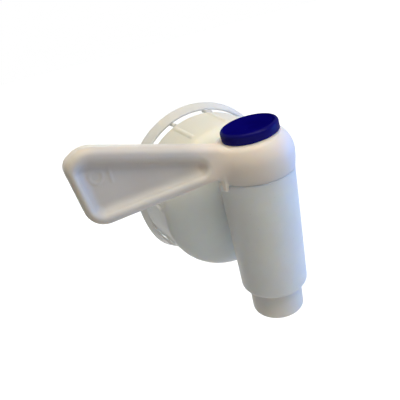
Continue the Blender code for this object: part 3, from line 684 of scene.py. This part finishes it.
# lever: domed hub, wedge paddle with a recess on each face
leverSize = {
    "hubBase": 0.02, "baseRadius": 13.25, "baseEdge": 0.04, "bellyRadius": 13.8, "bellyHeight": 5.5,
    "domeHeight": 11.4, "topEdge": 1.4, "topLift": 0.3,
    "root": 6.0, "rootTop": 11.0, "rootBlend": 3.2, "reach": 59.4, "endLean": 2.4, "underside": 2.6,
    "tipTop": 27.4, "tipTopReach": 54.5, "tipCut": (55.05, 25.35), "tipCutTurn": 60.5,  # degrees
    "highCorner": 8.0, "tipCorner": 4.2, "lowCorner": 6.4, "thick": 7.4, "edge": 2.1,
    "highRim": 3.9, "endRim": 2.2, "lowRim": 3.1, "draft": 0.52, "web": 2.2, "recessStart": 18.0,
    "recessStartEdge": 2.6, "recessCorner": 4.0, "recessTip": 2.4, "recessEdge": 1.0, "recessFillet": 1.6,
    "pocket": 11.4, "pocketLift": 0.05, "pocketEdge": 0.3,
    "nibAngle": 193.0, "nib": (1.3, 2.0, 5.9), "nibRadius": 13.5, "nibDepth": 1.8, "nibEdge": 0.45, "nibBlend": 0.8,
    "markRing": (51.2, 17.1, 1.9), "markBar": (47.2, 16.5, 2.2), "markLine": 0.42, "markHeight": 0.12,
    "markEdge": 0.15, "markBlend": 0.3,
    "cell": 0.29, "endRoom": 1.0, "side": 15.5, "lowest": -2.6, "highest": 30.5,
}


def leverField(x, y, z):
    s = leverSize
    u, radius, aside = -x, np.hypot(x, y), np.abs(y)
    over = np.maximum(z - s["bellyHeight"], 0)
    under = np.clip((s["bellyHeight"] - z) / (s["bellyHeight"] - s["hubBase"]), 0, 1.5)
    hub = np.hypot(radius, over * s["bellyRadius"] / s["domeHeight"]) - s["bellyRadius"]
    hub = hub + (s["bellyRadius"] - s["baseRadius"]) * under ** 2
    rise = (z - hubTop) * math.cos(hubLean) - x * math.sin(hubLean)
    hub = roundMax(hub, rise - s["topLift"], s["topEdge"])
    hub = roundMax(hub, s["hubBase"] - z, s["baseEdge"])
    # wedge outline, seen from the side
    slope = (s["tipTop"] - s["rootTop"]) / (s["tipTopReach"] - s["root"])
    fall = math.cos(math.atan(slope))
    topAtEnd = s["tipTop"] + slope * (s["reach"] - s["tipTopReach"])
    leanRate = s["endLean"] / (topAtEnd - s["underside"])
    upright = 1 / math.hypot(1, leanRate)
    low = s["underside"] - z
    high = (z - s["rootTop"] - slope * (u - s["root"])) * fall
    end = (u - s["reach"] + leanRate * (topAtEnd - z)) * upright
    cutU, cutZ = math.cos(math.radians(s["tipCutTurn"])), math.sin(math.radians(s["tipCutTurn"]))
    cut = (u - s["tipCut"][0]) * cutU + (z - s["tipCut"][1]) * cutZ
    lowSlant, highSlant = leanRate * upright, (cutZ - slope * cutU) * fall
    tipSlant = (cutU - leanRate * cutZ) * upright

    def wedgeField(lowRim, endRim, highRim, lowRadius, tipRadius, highRadius):
        a, b, c, d = low + lowRim, end + endRim, cut + (endRim + highRim) / 2, high + highRim
        return np.maximum(np.maximum(roundCorner(a, b, lowRadius, lowSlant), roundCorner(b, c, tipRadius, tipSlant)),
                          roundCorner(c, d, highRadius, highSlant))

    wedge = wedgeField(0, 0, 0, s["lowCorner"], s["tipCorner"], s["highCorner"])
    paddle = np.maximum(roundMax(wedge, aside - s["thick"] / 2, s["edge"]), s["root"] - u)
    # recess: the same wedge drawn in by the rim
    inner = wedgeField(s["lowRim"], s["endRim"], s["highRim"], s["recessCorner"], s["recessTip"], s["recessCorner"])
    inner = roundMax(inner, s["recessStart"] - u, s["recessStartEdge"])
    inner = (inner + s["draft"] * (s["thick"] / 2 - aside)) / math.hypot(1, s["draft"])
    recess = roundMax(inner, s["web"] / 2 - aside, s["recessFillet"])
    paddle = roundMax(paddle, -recess, s["recessEdge"])
    lever = roundMin(hub, paddle, s["rootBlend"])
    # room for the button, a nib that meets the barrel's stop
    tilted = np.hypot(x * math.cos(hubLean) + (z - hubTop) * math.sin(hubLean), y)
    lever = roundMax(lever, -np.maximum(tilted - s["pocket"], s["pocketLift"] - rise), s["pocketEdge"])
    angle = math.radians(s["nibAngle"])
    out, side = x * math.cos(angle) + y * math.sin(angle), y * math.cos(angle) - x * math.sin(angle)
    proud, width, height = s["nib"]
    nib = blockField(out - s["nibRadius"] - proud / 2, side, z + s["nibDepth"] - height / 2,
                     (proud / 2, width / 2, height / 2), s["nibEdge"])
    lever = softMin(lever, nib, s["nibBlend"])
    # raised ring and bar on the web's front
    ringAt, barAt = s["markRing"], s["markBar"]
    ring = np.abs(np.hypot(u - ringAt[0], z - ringAt[1]) - ringAt[2]) - s["markLine"]
    bar = np.hypot(u - barAt[0], z - np.clip(z, barAt[1] - barAt[2], barAt[1] + barAt[2])) - s["markLine"]
    mark = roundMax(np.minimum(ring, bar), aside - s["web"] / 2 - s["markHeight"], s["markEdge"])
    return softMin(lever, np.maximum(mark, y), s["markBlend"])


def makeLever():
    s = leverSize
    side = s["side"]
    lever = pieceFromField("lever", leverField, (-s["reach"] - s["endRoom"], -side, s["lowest"]),
                           (side, side, s["highest"]), s["cell"])
    settle(lever, barrelPlace, "valve", ["lever"], leverPlastic, 0)


makeLever()
print("lever made")


# valve spool, whose lower end is the nozzle
spoolSize = {
    "radius": 9.9, "bore": 7.2, "end": -57.9, "boreTop": -8.0, "boreEdge": 0.8, "shoulder": -3.3, "journal": 6.5,
    "journalTop": 0.25, "journalEdge": 0.3, "outerEdge": 0.5, "innerEdge": 0.45, "spacing": 2.5, "steps": 200,
    "port": 4.7, "portDrop": 17.5, "portFrom": 0.5, "portTo": 12.0, "portSteps": 96,
}
buttonSize = {
    "radius": 9.7, "aside": 0.3, "bottom": 0.07, "bottomEdge": 0.15, "top": 3.4, "edge": 1.0, "rim": 1.3,
    "rimEdge": 0.4, "dish": 0.3, "dishRun": 0.5, "dishEdge": 0.5, "spacing": 1.2, "steps": 200,
}


def makeSpool():
    s = spoolSize
    outline = softOutline([
        (0, s["boreTop"], 0), (s["bore"], s["boreTop"], s["boreEdge"]), (s["bore"], s["end"], s["innerEdge"]),
        (s["radius"], s["end"], s["outerEdge"]), (s["radius"], s["shoulder"], s["journalEdge"]),
        (s["journal"], s["shoulder"], s["journalEdge"]), (s["journal"], s["journalTop"], s["journalEdge"]),
        (0, s["journalTop"], 0)], closed=False)
    spool = turnedPiece("valveSpool", evenOut(outline, s["spacing"], closed=False), s["steps"], closed=False)
    cutter = turnedPiece("portCutter", [(0, s["portFrom"]), (s["port"], s["portFrom"]), (s["port"], s["portTo"]),
                                        (0, s["portTo"])], s["portSteps"], closed=False)
    cutter.data.transform(Matrix.Translation((0, 0, -s["portDrop"])) @ Matrix.Rotation(math.pi / 2, 4, "Y"))
    cut = spool.modifiers.new("port", "BOOLEAN")
    cut.operation, cut.object, cut.solver = "DIFFERENCE", cutter, "EXACT"
    bakeModifiers(spool)
    bpy.data.objects.remove(cutter)
    settle(spool, barrelPlace, "valve", ["valve_spool"], spoolPlastic)


def makeButton():
    s = buttonSize
    dished, dishTop = s["radius"] - s["rim"], s["top"] - s["dish"]
    outline = softOutline([
        (0, s["bottom"], 0), (s["radius"], s["bottom"], s["bottomEdge"]), (s["radius"], s["top"], s["edge"]),
        (dished, s["top"], s["rimEdge"]), (dished - s["dishRun"], dishTop, s["dishEdge"]), (0, dishTop, 0)],
        closed=False)
    button = turnedPiece("button", evenOut(outline, s["spacing"], closed=False), s["steps"], closed=False)
    place = buttonPlace @ Matrix.Translation((s["aside"], 0, 0))
    settle(button, place, "valve", ["button"], buttonBlue)


makeSpool()
makeButton()
print("spool and button made")

# small inner parts keep their solids
for nodeName, finish in (("inlet_seat", sealRubber), ("swivel_oring", sealRubber), ("upper_oring", sealRubber),
                         ("lower_oring", sealRubber), ("lever_screw", screwSteel)):
    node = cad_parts[nodeName]
    node.data.materials.clear()
    node.data.materials.append(finish)
print("inner parts dressed")


# floor and world look white, but light the part only a little
stageSize = {
    "floorHeight": -0.13, "floorHalf": 3.0, "floorColour": (0.8, 0.8, 0.8, 1.0), "floorRoughness": 0.9,
    "glow": 0.8, "glowFrom": 0.16, "fullGlow": 1.0, "fullGlowFrom": 0.5, "ambient": (0.06, 0.06, 0.06),
}


# one for the rays that show the backdrop, zero for those that light the part
def seenRays(tree):
    path = addNode(tree, "ShaderNodeLightPath").outputs
    seen = maths(tree, "MAXIMUM", path["Is Camera Ray"], path["Is Glossy Ray"])
    return maths(tree, "MAXIMUM", seen, path["Is Transmission Ray"])


def makeStage():
    s = stageSize
    half, height = s["floorHalf"], s["floorHeight"]
    mesh = bpy.data.meshes.new("floor")
    mesh.from_pydata([(-half, -half, height), (half, -half, height), (half, half, height), (-half, half, height)], [],
                     [(0, 1, 2, 3)])
    floor = bpy.data.objects.new("floor", mesh)
    scene.collection.objects.link(floor)
    paint = bpy.data.materials.new("floorWhite")
    paint.use_nodes = True
    tree = paint.node_tree
    shader = tree.nodes["Principled BSDF"]
    shader.inputs["Base Color"].default_value = s["floorColour"]
    shader.inputs["Roughness"].default_value = s["floorRoughness"]
    place = addNode(tree, "ShaderNodeTexCoord").outputs["Object"]
    away = addNode(tree, "ShaderNodeVectorMath", {0: place}, operation="LENGTH").outputs["Value"]
    white = easeBetween(tree, away, s["glowFrom"], s["fullGlowFrom"], s["glow"], s["fullGlow"])
    glow = addNode(tree, "ShaderNodeEmission", {"Strength": maths(tree, "MULTIPLY", seenRays(tree), white)})
    both = addNode(tree, "ShaderNodeAddShader", {0: shader.outputs[0], 1: glow.outputs[0]})
    tree.links.new(both.outputs[0], tree.nodes["Material Output"].inputs["Surface"])
    mesh.materials.append(paint)
    world = bpy.data.worlds.new("studio")
    scene.world = world
    world.use_nodes = True
    tree = world.node_tree
    colour = mixColours(tree, seenRays(tree), s["ambient"], (1.0, 1.0, 1.0))
    tree.links.new(colour, tree.nodes["Background"].inputs["Color"])


lampList = {
    "softBox": {"at": (0.04, -0.25, 0.58), "aim": (0, 0, 0), "size": (0.4, 0.35), "watts": 1.47,
                "colour": (1.0, 0.95, 0.82)},
    "frontBox": {"at": (0.12, -0.38, 0.48), "aim": (0, 0, 0), "size": (0.4, 0.4), "watts": 0.98,
                 "colour": (1.0, 0.98, 0.86)},
    "topLamp": {"at": (0.0, 0.05, 0.65), "aim": (0, 0, 0), "size": (0.45, 0.4), "watts": 1.4,
                "colour": (1.0, 0.80, 0.55)},
    "window": {"at": (0.55, -0.22, 0.03), "aim": (0, -0.02, 0), "size": (0.35, 0.35), "watts": 1.9,
               "colour": (0.05, 0.34, 1.0)},
    "backLamp": {"at": (0.02, 0.5, 0.03), "aim": (0, 0, 0), "size": (0.3, 0.3), "watts": 0.4,
                 "colour": (0.6, 0.9, 1.0)},
}


def makeLamps():
    for name, s in lampList.items():
        lamp = bpy.data.lights.new(name, "AREA")
        lamp.shape = "RECTANGLE"
        lamp.size, lamp.size_y = s["size"]
        lamp.energy, lamp.color = s["watts"], s["colour"]
        lampObject = bpy.data.objects.new(name, lamp)
        lampObject.location = s["at"]
        lampObject.rotation_euler = (Vector(s["aim"]) - Vector(s["at"])).to_track_quat("-Z", "Y").to_euler()
        scene.collection.objects.link(lampObject)


# fitted to the photo's round edges
cameraSize = {
    "at": (-0.06371, -0.13760, 0.07082), "right": (0.8749, -0.4345, -0.2141), "up": (0.3667, 0.3055, 0.8787),
    "back": (-0.3164, -0.8473, 0.4266), "lens": 36.3546, "sensor": 36.0, "near": 0.005, "far": 20.0,
}


def makeCamera():
    s = cameraSize
    lens = bpy.data.cameras.new("camera")
    lens.lens, lens.sensor_width = s["lens"], s["sensor"]
    lens.clip_start, lens.clip_end = s["near"], s["far"]
    camera = bpy.data.objects.new("camera", lens)
    turn = Matrix((s["right"], s["up"], s["back"])).transposed().to_4x4()
    camera.matrix_world = Matrix.Translation(s["at"]) @ turn
    scene.collection.objects.link(camera)
    scene.camera = camera


makeStage()
makeLamps()
makeCamera()
print("stage, lamps and camera made")
